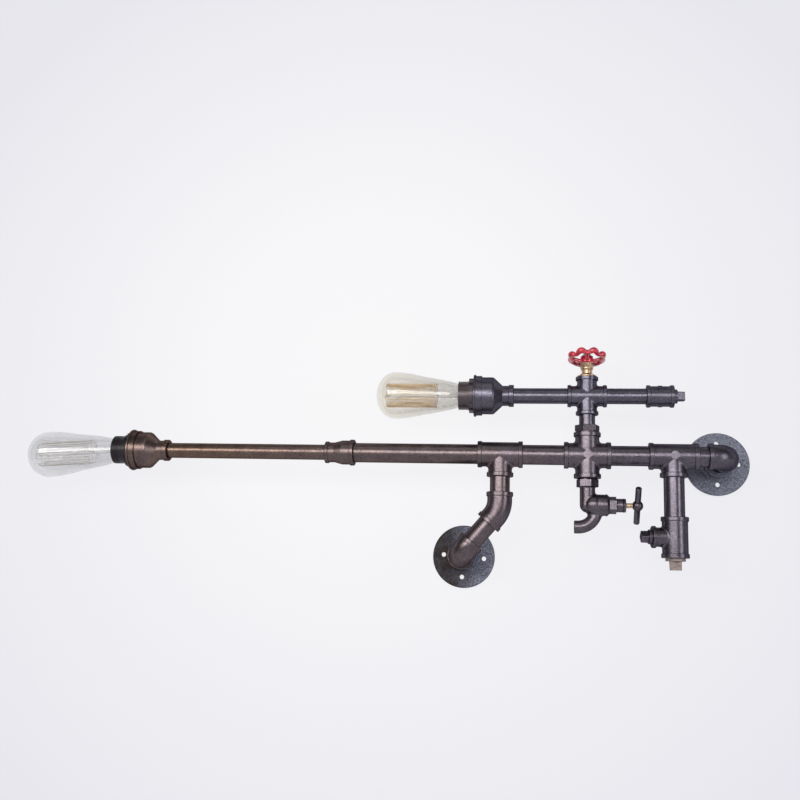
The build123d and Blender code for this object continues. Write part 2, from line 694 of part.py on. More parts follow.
def make_bulb(lamp):
    """A bulb screwed home: tip, screw cap, glass, mount and the cage of filament."""
    name, _, mouth_x, z, _, length, droop = lamp
    cap_x = mouth_x + core_x - contact_thickness - joint_gap - cap_tip_height
    rim_x = cap_x - cap_length
    turn = lamp_axis(lamp)
    with BuildPart() as tip:
        with BuildSketch(Plane(origin=(cap_x + joint_gap, axis_y, z), z_dir=right)):
            Circle(cap_d / 2 - cap_thread_depth - cap_wall)
        extrude(amount=cap_tip_height - joint_gap, taper=cap_tip_taper)
    tip.part.label = f"{name}_bulb_tip"
    export_step(tip.part, f"parts/{name}_bulb_tip.step")

    with BuildPart() as cap:
        r_crest = cap_d / 2
        r_root = r_crest - cap_thread_depth
        foot = cap_thread_pitch * cap_thread_foot_share
        crest = cap_thread_pitch * cap_thread_crest_share
        with BuildSketch(Plane(origin=(rim_x, axis_y, z), z_dir=right)):
            Circle(r_root)
        extrude(amount=cap_length)
        for rib in range(cap_thread_count):
            with BuildSketch(axial(cap_x - cap_thread_pitch * (rib + 1), z)):
                with BuildLine():
                    Polyline((-foot, 0), (-foot, r_root), (-crest, r_crest), (crest, r_crest), (foot, r_root),
                             (foot, 0), close=True)
                make_face()
            revolve(axis=turn)
        with BuildSketch(Plane(origin=(rim_x - overrun, axis_y, z), z_dir=right)):
            Circle(r_root - cap_wall)
        extrude(amount=cap_length + overrun - cap_wall, mode=Mode.SUBTRACT)
    cap.part.label = f"{name}_bulb_cap"
    export_step(cap.part, f"parts/{name}_bulb_cap.step")

    # The glass leaves the cap's rim along an axis that may droop a little. Local x runs out along it.
    tilt = radians(droop)
    out = Vector(-cos(tilt), 0, -sin(tilt))
    rim = Vector(rim_x, axis_y, z)
    lean = Plane(origin=rim, x_dir=out, z_dir=(0, 1, 0))
    axis = Axis(rim, out)
    mouth = rim_x - mouth_x
    full = mouth + length

    def pear(wall_in):
        """Half outline of the glass, drawn in from its outer face by wall_in."""
        r_foot = glass_foot_d / 2 - wall_in
        r_mouth = glass_mouth_d / 2 - wall_in
        r_wide = glass_d / 2 - wall_in
        wide_x = mouth + length * glass_widest_share
        shoulder_x = mouth + length * glass_shoulder_share
        r_shoulder = r_mouth + (r_wide - r_mouth) * glass_shoulder_bulge_share
        start_x = wall_in - glass_foot_length
        with BuildLine() as outline:
            foot = Line((start_x, 0), (start_x, r_foot))
            neck = Line(foot @ 1, (0, r_foot))
            Spline(neck @ 1, (mouth, r_mouth), (shoulder_x, r_shoulder), (wide_x, r_wide),
                   tangents=((1, 1), (1, 0)))
            EllipticalCenterArc((wide_x, 0), full - wall_in - wide_x, r_wide, arc_size=90)
            Line((full - wall_in, 0), foot @ 0)
        make_face(outline.edges())

    with BuildPart() as glass:
        with BuildSketch(lean):
            pear(0)
        revolve(axis=axis)
        with BuildSketch(lean):
            pear(glass_wall)
        revolve(axis=axis, mode=Mode.SUBTRACT)
    glass.part.label = f"{name}_bulb_glass"
    export_step(glass.part, f"parts/{name}_bulb_glass.step")

    rod_r = stem_rod_d / 2
    cage_from = mouth + length * cage_start_share
    cage_to = mouth + length * cage_end_share
    with BuildPart() as mount:
        with BuildSketch(lean):
            with BuildLine():
                press_x = mouth + length * stem_press_share
                end_x = mouth + length * stem_end_share
                Polyline((glass_wall + joint_gap - glass_foot_length, 0),
                         (glass_wall + joint_gap - glass_foot_length, stem_foot_d / 2), (0, stem_foot_d / 2),
                         (mouth, stem_press_d / 2), (press_x, stem_press_d / 2),
                         (press_x + stem_rod_d, rod_r), (end_x - stem_rod_d, rod_r),
                         (end_x - stem_rod_d, stem_rod_d), (end_x, stem_rod_d), (end_x, 0), close=True)
            make_face()
        revolve(axis=axis)
        for place in (cage_from, cage_to):
            hub = Plane(origin=rim + out * place, z_dir=out)
            with BuildSketch(hub):
                Circle(rod_r + support_wire_d)
                Circle(rod_r + wire_gap, mode=Mode.SUBTRACT)
            extrude(amount=support_collar_height / 2, both=True)
            for arm in range(support_arm_count):
                angle = 2 * pi * (arm + 0.5) / support_arm_count
                spoke = hub.x_dir * cos(angle) + hub.y_dir * sin(angle)
                with BuildSketch(Plane(origin=hub.origin + spoke * (rod_r + support_wire_d / 2), z_dir=spoke)):
                    Circle(support_wire_d / 2)
                extrude(amount=cage_d / 2 - rod_r - support_wire_d - cage_wire_d / 2 - wire_gap)
    mount.part.label = f"{name}_bulb_mount"
    export_step(mount.part, f"parts/{name}_bulb_mount.step")

    # One wire that runs up and down between the two sets of supports
    stations = []
    for strand in range(cage_strand_count):
        angle = 2 * pi * strand / cage_strand_count
        side = (hub.x_dir * cos(angle) + hub.y_dir * sin(angle)) * cage_d / 2
        near = rim + out * cage_from + side
        far = rim + out * cage_to + side
        stations += [near, far] if strand % 2 == 0 else [far, near]
    with BuildPart() as cage:
        with BuildLine() as wire:
            FilletPolyline(*stations, radius=cage_bend)
        with BuildSketch(Plane(origin=wire.wires()[0] @ 0, z_dir=wire.wires()[0] % 0)):
            Circle(cage_wire_d / 2)
        sweep(path=wire.wires()[0])
    cage.part.label = f"{name}_bulb_filament"
    export_step(cage.part, f"parts/{name}_bulb_filament.step")


for lamp in lamps:
    make_bell(f"{lamp.name}_bell", lamp.end_x, lamp.z, holder_length - lamp.out + bell_holder_clearance)
    make_bulb(lamp)


# Valve on top of the upper cross. It is shut: the disc is down and the wheel close above the gland nut.
seat_z = upper_z + small_cross_half
column = Axis((cross_x, axis_y, 0), (0, 0, 1))
cone_z = bonnet_collar_height + bonnet_cone_height
neck_z = cone_z + bonnet_neck_height
flare_z = neck_z + bonnet_flare_height
wheel_z = flare_z + valve_nut_height + wheel_clearance


def upright(z):
    """A plane for profiles turned about the column: local x is the radius and local y is up."""
    return Plane(origin=(cross_x, axis_y, z), x_dir=(1, 0, 0), z_dir=(0, -1, 0))


with BuildPart() as valve_bonnet:
    with BuildSketch(upright(seat_z)):
        with BuildLine():
            Polyline((spindle_d / 2 + spindle_gap, -small_engagement), (small_pipe_od / 2, -small_engagement),
                     (small_pipe_od / 2, 0), (bonnet_collar_d / 2, 0),
                     (bonnet_collar_d / 2, bonnet_collar_height), (bonnet_neck_d / 2, cone_z),
                     (bonnet_neck_d / 2, neck_z), (bonnet_flare_d / 2, neck_z + bonnet_flare_height / 2),
                     (bonnet_flare_d / 2, flare_z), (spindle_d / 2 + spindle_gap, flare_z), close=True)
        make_face()
    revolve(axis=column)
valve_bonnet.part.label = "valve_bonnet"
export_step(valve_bonnet.part, "parts/valve_bonnet.step")

with BuildPart() as valve_nut:
    with BuildSketch(Plane(origin=(cross_x, axis_y, seat_z + flare_z), z_dir=(0, 0, 1))):
        RegularPolygon(valve_nut_flats / 2, 6, major_radius=False, rotation=valve_nut_turn)
        Circle(spindle_d / 2 + spindle_gap, mode=Mode.SUBTRACT)
    extrude(amount=valve_nut_height)
valve_nut.part.label = "valve_gland_nut"
export_step(valve_nut.part, "parts/valve_gland_nut.step")

disc_top = seat_z - small_engagement - valve_lift - valve_clearance
with BuildPart() as valve_disc:
    with BuildSketch(Plane(origin=(cross_x, axis_y, disc_top - valve_disc_height), z_dir=(0, 0, 1))):
        Circle(valve_disc_d / 2)
    extrude(amount=valve_disc_height)
    with BuildSketch(Plane(origin=(cross_x, axis_y, disc_top + overrun), z_dir=(0, 0, -1))):
        Circle(spindle_d / 2 + spindle_gap)
    extrude(amount=overrun + valve_disc_height / 2, mode=Mode.SUBTRACT)
valve_disc.part.label = "valve_disc"
export_step(valve_disc.part, "parts/valve_disc.step")

hub_z = seat_z + wheel_z
hub_top = hub_z + wheel_hub_height - wheel_hub_dish
with BuildPart() as valve_spindle:
    foot_z = disc_top - valve_disc_height / 2 + spindle_gap
    with BuildSketch(Plane(origin=(cross_x, axis_y, foot_z), z_dir=(0, 0, 1))):
        Circle(spindle_d / 2)
    extrude(amount=hub_top + wheel_nut_height / 2 - foot_z)
valve_spindle.part.label = "valve_spindle"
export_step(valve_spindle.part, "parts/valve_spindle.step")

# Handwheel: a rim of round lobes, four spokes and a hub with a dished top
ring_z = hub_z + wheel_ring_rise
with BuildPart() as lobe:
    half = wheel_apothem * sin(pi / wheel_lobe_count) / cos(pi / wheel_lobe_count) * wheel_lobe_fill_share
    with BuildSketch(Plane(origin=(wheel_apothem, 0, 0), x_dir=(0, 1, 0), z_dir=(0, 0, 1))):
        with BuildLine():
            ThreePointArc((-half, wheel_waist_r), (0, wheel_lobe_r), (half, wheel_waist_r))
            Polyline((half, wheel_waist_r), (half, 0), (-half, 0), (-half, wheel_waist_r))
        make_face()
    revolve(axis=Axis((wheel_apothem, 0, 0), (0, 1, 0)))
with BuildPart() as handwheel:
    rim_r = wheel_apothem / cos(pi / wheel_lobe_count)
    with Locations((cross_x, axis_y, ring_z)):
        Torus((rim_r + wheel_apothem) / 2, wheel_waist_r)
        with PolarLocations(0, wheel_lobe_count, start_angle=wheel_lobe_turn):
            add(lobe.part)
    with BuildSketch(upright(hub_z)):
        with BuildLine():
            Polyline((0, 0), (wheel_hub_foot_d / 2, 0), (wheel_hub_top_d / 2, wheel_hub_height / 2),
                     (wheel_hub_top_d / 2, wheel_hub_height),
                     (wheel_nut_flats / 2 + wheel_hub_dish, wheel_hub_height - wheel_hub_dish),
                     (0, wheel_hub_height - wheel_hub_dish), close=True)
        make_face()
    revolve(axis=column)
    for spoke in range(wheel_spoke_count):
        angle = 2 * pi * (spoke + 0.5) / wheel_spoke_count
        outward = Vector(cos(angle), sin(angle), 0)
        with BuildSketch(Plane(origin=Vector(cross_x, axis_y, ring_z) + outward * wheel_hub_foot_d / 2,
                               x_dir=up, z_dir=outward)):
            Ellipse(wheel_spoke_height / 2, wheel_spoke_width / 2)
        extrude(amount=wheel_apothem - wheel_hub_foot_d / 2)
    with BuildSketch(Plane(origin=(cross_x, axis_y, hub_z - overrun), z_dir=(0, 0, 1))):
        Circle(spindle_d / 2 + spindle_gap)
    extrude(amount=wheel_hub_height + 2 * overrun, mode=Mode.SUBTRACT)
handwheel.part.label = "handwheel"
export_step(handwheel.part, "parts/handwheel.step")

with BuildPart() as wheel_nut:
    with BuildSketch(Plane(origin=(cross_x, axis_y, hub_top), z_dir=(0, 0, 1))):
        RegularPolygon(wheel_nut_flats / 2, 6, major_radius=False)
        Circle(spindle_d / 2 + spindle_gap, mode=Mode.SUBTRACT)
    extrude(amount=wheel_nut_height)
wheel_nut.part.label = "wheel_nut"
export_step(wheel_nut.part, "parts/wheel_nut.step")


# Tap under the lower cross. Its bonnet, spindle and handle lie along X, at tap_z.
tap_z = -(cross_half + tap_drop)
hex_z = -(cross_half + tap_thread_show)
tap_centre = Vector(cross_x, axis_y, tap_z)
bonnet_x = barrel_length + tap_collar_width
gland_x = bonnet_x + tap_bonnet_hex_width + tap_bonnet_neck_width
gland_end = gland_x + tap_gland_width + tap_gland_lip_width
hub_x = gland_end + tap_spindle_show + hub_ball_d / 2
neck_bore = tap_neck_d / 2 - tap_wall
barrel_bore = barrel_d / 2 - tap_wall
spout_bore = spout_d / 2 - tap_wall
spout_corner = tap_centre + Vector(spout_start, 0, -spout_drop - spout_radius)
spout_mouth = spout_corner + left * (spout_radius + spout_end_length)

with BuildPart() as tap_body:
    # Inlet from the hexagon down to the middle of the barrel
    with BuildSketch(Plane(origin=tap_centre, z_dir=up)):
        Circle(tap_neck_d / 2)
    extrude(amount=hex_z - tap_z)
    with Locations(tap_centre + right * tap_chamber_shift):
        Sphere(tap_chamber_d / 2)
    with BuildSketch(Plane(origin=tap_centre + right * tap_chamber_shift, z_dir=right)):
        Circle(barrel_d / 2)
    extrude(amount=barrel_length - tap_chamber_shift)
    # Spout: down from the barrel, a quarter turn and out to the left
    with BuildLine() as spout_line:
        FilletPolyline(tap_centre + right * spout_start, spout_corner, spout_mouth, radius=spout_radius)
    with BuildSketch(Plane(origin=tap_centre + right * spout_start, z_dir=down)):
        Circle(spout_d / 2)
    sweep(path=spout_line.wires()[0])
    joins = tap_body.edges().filter_by(lambda e: e.geom_type not in (GeomType.CIRCLE, GeomType.LINE))
    fillet(joins, radius=barrel_fillet)
    with BuildSketch(Plane(origin=tap_centre + right * barrel_length, z_dir=right)):
        Circle(tap_collar_d / 2)
    extrude(amount=tap_collar_width)
    chamfer(tap_body.edges().filter_by(GeomType.CIRCLE).group_by(Axis.X)[-1], length=tap_collar_chamfer)
    with BuildSketch(Plane(origin=(cross_x, axis_y, hex_z), z_dir=(0, 0, -1))):
        RegularPolygon(tap_hex_flats / 2, 6, major_radius=False, rotation=tap_hex_turn)
    extrude(amount=tap_hex_height)
    # Thread that screws into the cross
    with BuildSketch(Plane(origin=(cross_x, axis_y, hex_z), z_dir=(0, 0, 1))):
        Circle(tap_thread_d / 2)
    extrude(amount=large_engagement + tap_thread_show)
    # Passages: inlet, seat, chamber and spout
    with BuildSketch(Plane(origin=tap_centre, z_dir=up)):
        Circle(neck_bore)
    extrude(amount=tap_drop + large_engagement + overrun, mode=Mode.SUBTRACT)
    with BuildSketch(Plane(origin=tap_centre, z_dir=right)):
        Circle(seat_d / 2)
    extrude(amount=seat_x + overrun, mode=Mode.SUBTRACT)
    with BuildSketch(Plane(origin=tap_centre + right * seat_x, z_dir=right)):
        Circle(barrel_bore)
    extrude(amount=bonnet_x - seat_x + overrun, mode=Mode.SUBTRACT)
    with BuildLine() as passage:
        FilletPolyline(tap_centre + Vector(spout_start, 0, -passage_drop), spout_corner,
                       spout_mouth + left * overrun, radius=spout_radius)
    with BuildSketch(Plane(origin=tap_centre + Vector(spout_start, 0, -passage_drop), z_dir=down)):
        Circle(spout_bore)
    sweep(path=passage.wires()[0], mode=Mode.SUBTRACT)
tap_body.part.label = "tap_body"
export_step(tap_body.part, "parts/tap_body.step")

with BuildPart() as tap_bonnet:
    hold_x = seat_x + jumper_thickness + tap_lift + jumper_clearance
    with BuildSketch(Plane(origin=tap_centre + right * hold_x, z_dir=right)):
        Circle(barrel_bore - joint_gap)
    extrude(amount=bonnet_x - hold_x)
    with BuildSketch(Plane(origin=tap_centre + right * bonnet_x, z_dir=right)):
        RegularPolygon(tap_bonnet_hex_flats / 2, 6, major_radius=False)
    extrude(amount=tap_bonnet_hex_width)
    with BuildSketch(Plane(origin=tap_centre + right * (bonnet_x + tap_bonnet_hex_width), z_dir=right)):
        Circle(tap_gland_d / 2 - tap_gland_round)
    extrude(amount=tap_bonnet_neck_width)
    with BuildSketch(Plane(origin=tap_centre + right * (hold_x - overrun), z_dir=right)):
        Circle(tap_spindle_d / 2 + spindle_gap)
    extrude(amount=gland_x - hold_x + 2 * overrun, mode=Mode.SUBTRACT)
tap_bonnet.part.label = "tap_bonnet"
export_step(tap_bonnet.part, "parts/tap_bonnet.step")

with BuildPart() as tap_gland:
    with BuildSketch(Plane(origin=tap_centre + right * gland_x, z_dir=right)):
        Circle(tap_gland_d / 2)
    extrude(amount=tap_gland_width)
    fillet(tap_gland.edges(), radius=tap_gland_round)
    with BuildSketch(Plane(origin=tap_centre + right * (gland_end - tap_gland_lip_width), z_dir=right)):
        Circle(tap_gland_lip_d / 2)
    extrude(amount=tap_gland_lip_width, taper=tap_gland_lip_taper)
    with BuildSketch(Plane(origin=tap_centre + right * (gland_x - overrun), z_dir=right)):
        Circle(tap_spindle_d / 2 + spindle_gap)
    extrude(amount=gland_end - gland_x + 2 * overrun, mode=Mode.SUBTRACT)
tap_gland.part.label = "tap_gland_nut"
export_step(tap_gland.part, "parts/tap_gland_nut.step")

# The jumper is the washer that the spindle presses on the seat.
with BuildPart() as jumper:
    with BuildSketch(Plane(origin=tap_centre + right * (seat_x + joint_gap), z_dir=right)):
        Circle(jumper_d / 2)
    extrude(amount=jumper_thickness)
jumper.part.label = "tap_jumper"
export_step(jumper.part, "parts/tap_jumper.step")

with BuildPart() as tap_spindle:
    spindle_x = seat_x + jumper_thickness + 2 * joint_gap
    with BuildSketch(Plane(origin=tap_centre + right * spindle_x, z_dir=right)):
        Circle(tap_spindle_d / 2)
    extrude(amount=hub_x - bar_d / 2 - joint_gap - spindle_x)
tap_spindle.part.label = "tap_spindle"
export_step(tap_spindle.part, "parts/tap_spindle.step")

bar_dir = Vector(0, -sin(radians(bar_turn)), cos(radians(bar_turn)))
hub_centre = tap_centre + right * hub_x
with BuildPart() as tap_hub:
    with Locations(hub_centre):
        Sphere(hub_ball_d / 2)
    with BuildSketch(Plane(origin=hub_centre - bar_dir * hub_ball_d, z_dir=bar_dir)):
        Circle(bar_d / 2 + joint_gap)
    extrude(amount=2 * hub_ball_d, mode=Mode.SUBTRACT)
    with BuildSketch(Plane(origin=hub_centre + left * hub_ball_d, z_dir=right)):
        Circle(tap_spindle_d / 2 + joint_gap)
    extrude(amount=hub_ball_d, mode=Mode.SUBTRACT)
tap_hub.part.label = "tap_hub"
export_step(tap_hub.part, "parts/tap_hub.step")

with BuildPart() as tap_bar:
    with BuildSketch(Plane(origin=hub_centre - bar_dir * bar_length / 2, z_dir=bar_dir)):
        Circle(bar_d / 2)
    extrude(amount=bar_length)
    fillet(tap_bar.edges().filter_by(GeomType.CIRCLE), radius=bar_round)
tap_bar.part.label = "tap_bar"
export_step(tap_bar.part, "parts/tap_bar.step")


# Leads, from the back of each lampholder to the elbow behind which the supply comes out of the wall
lead_end_y = axis_y + elbow_reach
low = -lead_spacing / 2
high = lead_spacing / 2
core_hold = core_thickness / 2 - joint_gap
lead_starts = [lamp.mouth_x + holder_length - core_hold for lamp in lamps]
routes = (
    [(lead_starts[0], axis_y, 0), (thin_pipe_x, axis_y, 0), (reducer_x, axis_y, low), (0, axis_y, low),
     (0, lead_end_y, low)],
    [(lead_starts[1], axis_y, upper_z), (cross_x, axis_y, upper_z), (cross_x, axis_y, high),
     (0, axis_y, high), (0, lead_end_y, high)])
bends = ([lead_offset_bend, lead_offset_bend, elbow_bend_radius], [lead_bend, lead_bend, elbow_bend_radius])
with BuildPart() as leads:
    for points, radii in zip(routes, bends):
        with BuildLine() as route:
            FilletPolyline(*points, radius=radii)
        with BuildSketch(Plane(origin=route.wires()[0] @ 0, z_dir=route.wires()[0] % 0)):
            Circle(lead_d / 2)
        sweep(path=route.wires()[0])
leads.part.label = "leads"
export_step(leads.part, "parts/leads.step")
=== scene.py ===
import json
import math

import bmesh
import bpy
from mathutils import Matrix, Vector


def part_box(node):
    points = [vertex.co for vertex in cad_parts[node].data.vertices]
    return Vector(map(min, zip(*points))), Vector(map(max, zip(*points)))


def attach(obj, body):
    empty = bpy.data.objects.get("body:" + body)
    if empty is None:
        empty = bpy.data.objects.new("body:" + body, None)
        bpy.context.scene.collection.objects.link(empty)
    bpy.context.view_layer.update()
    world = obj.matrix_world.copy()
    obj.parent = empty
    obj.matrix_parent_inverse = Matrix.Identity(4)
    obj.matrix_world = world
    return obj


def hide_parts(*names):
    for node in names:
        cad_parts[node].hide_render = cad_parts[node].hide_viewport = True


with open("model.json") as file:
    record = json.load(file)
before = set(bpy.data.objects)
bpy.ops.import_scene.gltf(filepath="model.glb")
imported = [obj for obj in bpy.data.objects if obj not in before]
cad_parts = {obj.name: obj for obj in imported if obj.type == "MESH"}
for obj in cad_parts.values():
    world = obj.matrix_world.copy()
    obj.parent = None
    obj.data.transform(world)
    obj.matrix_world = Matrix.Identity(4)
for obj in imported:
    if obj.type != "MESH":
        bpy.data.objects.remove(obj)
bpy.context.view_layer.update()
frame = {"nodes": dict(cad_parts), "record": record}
nodes = frame["nodes"]
scene = bpy.context.scene


def linear(r, g, b):
    """A colour written as 0 to 255 on a screen, as the numbers that shaders take."""
    out = []
    for c in (r / 255, g / 255, b / 255):
        out.append(c / 12.92 if c <= 0.04045 else ((c + 0.055) / 1.055) ** 2.4)
    return (*out, 1.0)


# Camera at the photograph's angle: below the pipes and near the right-hand end. Place, turn and lens
# come from fitting the pipes' ends, the bulbs and the flanges to where the photograph shows them.
camera = bpy.data.objects.new("camera", bpy.data.cameras.new("camera"))
scene.collection.objects.link(camera)
scene.camera = camera
camera.location = (-0.2482, -1.3968, -0.1626)
camera.rotation_euler = [math.radians(a) for a in (100.154, -1.701, 7.973)]
camera.data.sensor_width = 36.0
camera.data.lens = 43.425
camera.data.clip_start = 0.01
camera.data.clip_end = 50


# Materials

class Nodes:
    """Builds the node tree of one material around its Principled shader."""

    def __init__(self, name, **sockets):
        self.material = bpy.data.materials.new(name)
        self.material.use_nodes = True
        self.tree = self.material.node_tree
        self.shader = self.tree.nodes["Principled BSDF"]
        self.output = self.tree.nodes["Material Output"]
        for socket, value in sockets.items():
            self.shader.inputs[socket.replace("_", " ")].default_value = value

    def add(self, kind, **settings):
        node = self.tree.nodes.new(kind)
        for key, value in settings.items():
            setattr(node, key, value)
        return node

    def link(self, source, target):
        self.tree.links.new(source, target)

    def place(self, scale, offset):
        """The point on the object, in metres, stretched by scale and moved by offset."""
        mapping = self.add("ShaderNodeMapping")
        mapping.inputs["Scale"].default_value = scale
        mapping.inputs["Location"].default_value = offset
        self.link(self.add("ShaderNodeTexCoord").outputs["Object"], mapping.inputs["Vector"])
        return mapping.outputs["Vector"]

    def noise(self, scale, detail, rough, stretch=(1, 1, 1), offset=(0, 0, 0)):
        """Soft marks, about scale of them to the metre; an offset keeps two noises apart."""
        noise = self.add("ShaderNodeTexNoise")
        noise.inputs["Scale"].default_value = scale
        noise.inputs["Detail"].default_value = detail
        noise.inputs["Roughness"].default_value = rough
        self.link(self.place(stretch, offset), noise.inputs["Vector"])
        return noise.outputs["Fac"]

    def ramp(self, value, *stops):
        """A colour ramp with stops of (position, colour)."""
        ramp = self.add("ShaderNodeValToRGB")
        band = ramp.color_ramp
        while len(band.elements) < len(stops):
            band.elements.new(0.5)
        for element, (position, colour) in zip(band.elements, stops):
            element.position = position
            element.color = colour
        self.link(value, ramp.inputs["Fac"])
        return ramp.outputs["Color"]

    def fade(self, value, low, high, start=0.0, end=1.0):
        """value from low to high becomes start to end."""
        fade = self.add("ShaderNodeMapRange", clamp=True)
        for socket, number in zip(("From Min", "From Max", "To Min", "To Max"), (low, high, start, end)):
            fade.inputs[socket].default_value = number
        self.link(value, fade.inputs["Value"])
        return fade.outputs["Result"]

    def mix(self, share, first, second, kind="MIX"):
        """first and second mixed by share; each of the three is a value or another node's socket."""
        mix = self.add("ShaderNodeMix", data_type="RGBA", blend_type=kind)
        for socket, given in ((0, share), (6, first), (7, second)):
            if isinstance(given, bpy.types.NodeSocket):
                self.link(given, mix.inputs[socket])
            else:
                mix.inputs[socket].default_value = given
        return mix.outputs[2]

    def calc(self, kind, *terms):
        """The operation kind on terms, kept between 0 and 1; each term is a number or another node's
        socket.
        """
        calc = self.add("ShaderNodeMath", operation=kind, use_clamp=True)
        for socket, given in enumerate(terms):
            if isinstance(given, bpy.types.NodeSocket):
                self.link(given, calc.inputs[socket])
            else:
                calc.inputs[socket].default_value = given
        return calc.outputs[0]

    def bump(self, height, distance, strength):
        """Grain on the surface: height from 0 to 1 stands for distance in metres."""
        bump = self.add("ShaderNodeBump")
        bump.inputs["Distance"].default_value = distance
        bump.inputs["Strength"].default_value = strength
        self.link(height, bump.inputs["Height"])
        self.link(bump.outputs["Normal"], self.shader.inputs["Normal"])

    def axis(self, name):
        """One coordinate of the point on the object, in metres."""
        split = self.add("ShaderNodeSeparateXYZ")
        self.link(self.add("ShaderNodeTexCoord").outputs["Object"], split.inputs["Vector"])
        return split.outputs[name]


def dark_iron(name, brown_share, grain, grain_height, stretch=(1, 1, 1)):
    """Blackened iron with a violet cast, rubbed to bronze: most along the left of the lower line.

    brown_share says how much bronze shows, grain how fine the surface is, grain_height how deep in metres.
    """
    m = Nodes(name, Metallic=1.0, Specular_Tint=(0.3, 0.3, 0.32, 1))
    left = m.fade(m.axis("X"), -0.66, -0.06, 1.0, 0.12)
    below_upper_line = m.fade(m.axis("Z"), 0.03, 0.06, 1.0, 0.0)
    handled = m.calc("MULTIPLY", left, below_upper_line)
    patches = m.fade(m.noise(24, 5, 0.62, stretch), 0.34, 0.66, 0.7, 1.0)
    grain_marks = m.fade(m.noise(grain, 3, 0.7, offset=(3, 1, 2)), 0.42, 0.62)
    clouds = m.fade(m.noise(60, 5, 0.6, offset=(5, 1, 4)), 0.3, 0.7)
    rubbed = m.calc("MULTIPLY", m.calc("MULTIPLY", patches, handled), brown_share)
    iron = m.mix(clouds, linear(88, 85, 95), linear(104, 101, 112))
    bronze = m.mix(clouds, linear(101, 84, 74), linear(123, 102, 88))
    worn = m.mix(rubbed, iron, bronze)
    dark = m.mix(1.0, worn, linear(214, 212, 215), "MULTIPLY")
    m.link(m.mix(grain_marks, worn, dark), m.shader.inputs["Base Color"])
    rough = m.noise(80, 6, 0.65, offset=(7, 4, 1))
    m.link(m.fade(rough, 0.3, 0.7, 0.28, 0.36), m.shader.inputs["Roughness"])
    m.bump(m.noise(grain, 4, 0.65, stretch), grain_height, 0.8)
    return m.material


def slate_iron():
    """Matte slate-grey iron of the flanges, with brown patina on the left one, and painted light that
    makes the right one lighter than the left.
    """
    m = Nodes("slate_iron", Metallic=0.6, Specular_IOR_Level=0.4)
    left = m.fade(m.axis("X"), -0.37, -0.33, 1.0, 0.0)
    clouds = m.fade(m.noise(40, 5, 0.65), 0.44, 0.6)
    specks = m.fade(m.noise(420, 3, 0.7, offset=(4, 2, 1)), 0.4, 0.62)
    # Painted light: this grey is painted lighter than the iron, to brighten the right flange where the
    # elbow shades it.
    grey = m.mix(m.noise(110, 5, 0.6), linear(106, 108, 122), linear(136, 139, 153))
    brown = m.mix(m.noise(150, 4, 0.6), linear(66, 58, 57), linear(112, 94, 84))
    base = m.mix(m.calc("MULTIPLY", left, clouds), grey, brown)
    dark = m.mix(1.0, base, linear(160, 158, 162), "MULTIPLY")
    lit = m.mix(specks, base, dark)
    # The left flange takes a darker copy, so that only the right flange carries the painted light.
    left_flange_darker_copy = m.mix(1.0, lit, linear(138, 135, 137), "MULTIPLY")
    m.link(m.mix(left, lit, left_flange_darker_copy), m.shader.inputs["Base Color"])
    m.link(m.fade(m.noise(90, 5, 0.6), 0.3, 0.7, 0.4, 0.62), m.shader.inputs["Roughness"])
    m.bump(m.noise(480, 5, 0.65), 0.0005, 0.9)
    return m.material


def holder_black():
    """Black moulding of the lampholders, shinier and browner on the upper one, whose lighter colour is
    partly its own tone and partly painted sheen.
    """
    m = Nodes("black_phenolic", Specular_IOR_Level=0.3)
    upper = m.fade(m.axis("X"), -0.6, -0.5)
    clouds = m.noise(120, 5, 0.6)
    # Upper holder: a lighter brown, partly its own tone and partly a painted sheen that stands in for the
    # highlights on its ribs.
    m.link(m.mix(upper, m.mix(clouds, linear(20, 17, 22), linear(34, 29, 35)),
                 m.mix(clouds, linear(66, 60, 63), linear(98, 88, 90))), m.shader.inputs["Base Color"])
    m.link(m.fade(upper, 0, 1, 0, 0.7), m.shader.inputs["Metallic"])
    m.link(m.fade(m.noise(240, 4, 0.6), 0.3, 0.7, 0.3, 0.42), m.shader.inputs["Roughness"])
    m.bump(m.noise(900, 4, 0.6), 0.0001, 0.6)
    return m.material


def plain(name, low, high, rough_low, rough_high, scale, height, **sockets):
    """A surface whose colour and roughness wander between two values, with a fine grain."""
    m = Nodes(name, **sockets)
    clouds = m.fade(m.noise(scale, 5, 0.6), 0.35, 0.65)
    m.link(m.mix(clouds, linear(*low), linear(*high)), m.shader.inputs["Base Color"])
    m.link(m.fade(m.noise(scale * 2, 4, 0.6, offset=(2, 5, 3)), 0.3, 0.7, rough_low, rough_high),
           m.shader.inputs["Roughness"])
    m.bump(m.noise(scale * 8, 4, 0.6), height, 0.6)
    return m.material


def clear_glass(name, clean, dusty, start, end):
    """Thin glass that lets light through, dustier from start to end along the bulb."""
    m = Nodes(name, Transmission_Weight=1.0, IOR=1.45, Specular_IOR_Level=0.3)
    along = m.fade(m.axis("X"), start, end)
    specks = m.fade(m.noise(260, 5, 0.75), 0.42, 0.6)
    dust = m.calc("MULTIPLY", along, m.calc("MULTIPLY_ADD", specks, 0.5, 0.5))
    tint = m.mix(dust, linear(*clean), linear(*dusty))
    m.link(tint, m.shader.inputs["Base Color"])
    m.link(m.fade(m.noise(140, 4, 0.6), 0.45, 0.7, 0.0, 0.06), m.shader.inputs["Roughness"])
    clear = m.add("ShaderNodeBsdfTransparent")
    m.link(m.mix(0.5, (1, 1, 1, 1), tint), clear.inputs["Color"])
    both = m.add("ShaderNodeMixShader")
    path = m.add("ShaderNodeLightPath")
    hidden = m.calc("MAXIMUM", path.outputs["Is Shadow Ray"], path.outputs["Is Diffuse Ray"])
    m.link(hidden, both.inputs[0])
    m.link(m.shader.outputs[0], both.inputs[1])
    m.link(clear.outputs[0], both.inputs[2])
    m.link(both.outputs[0], m.output.inputs["Surface"])
    return m.material


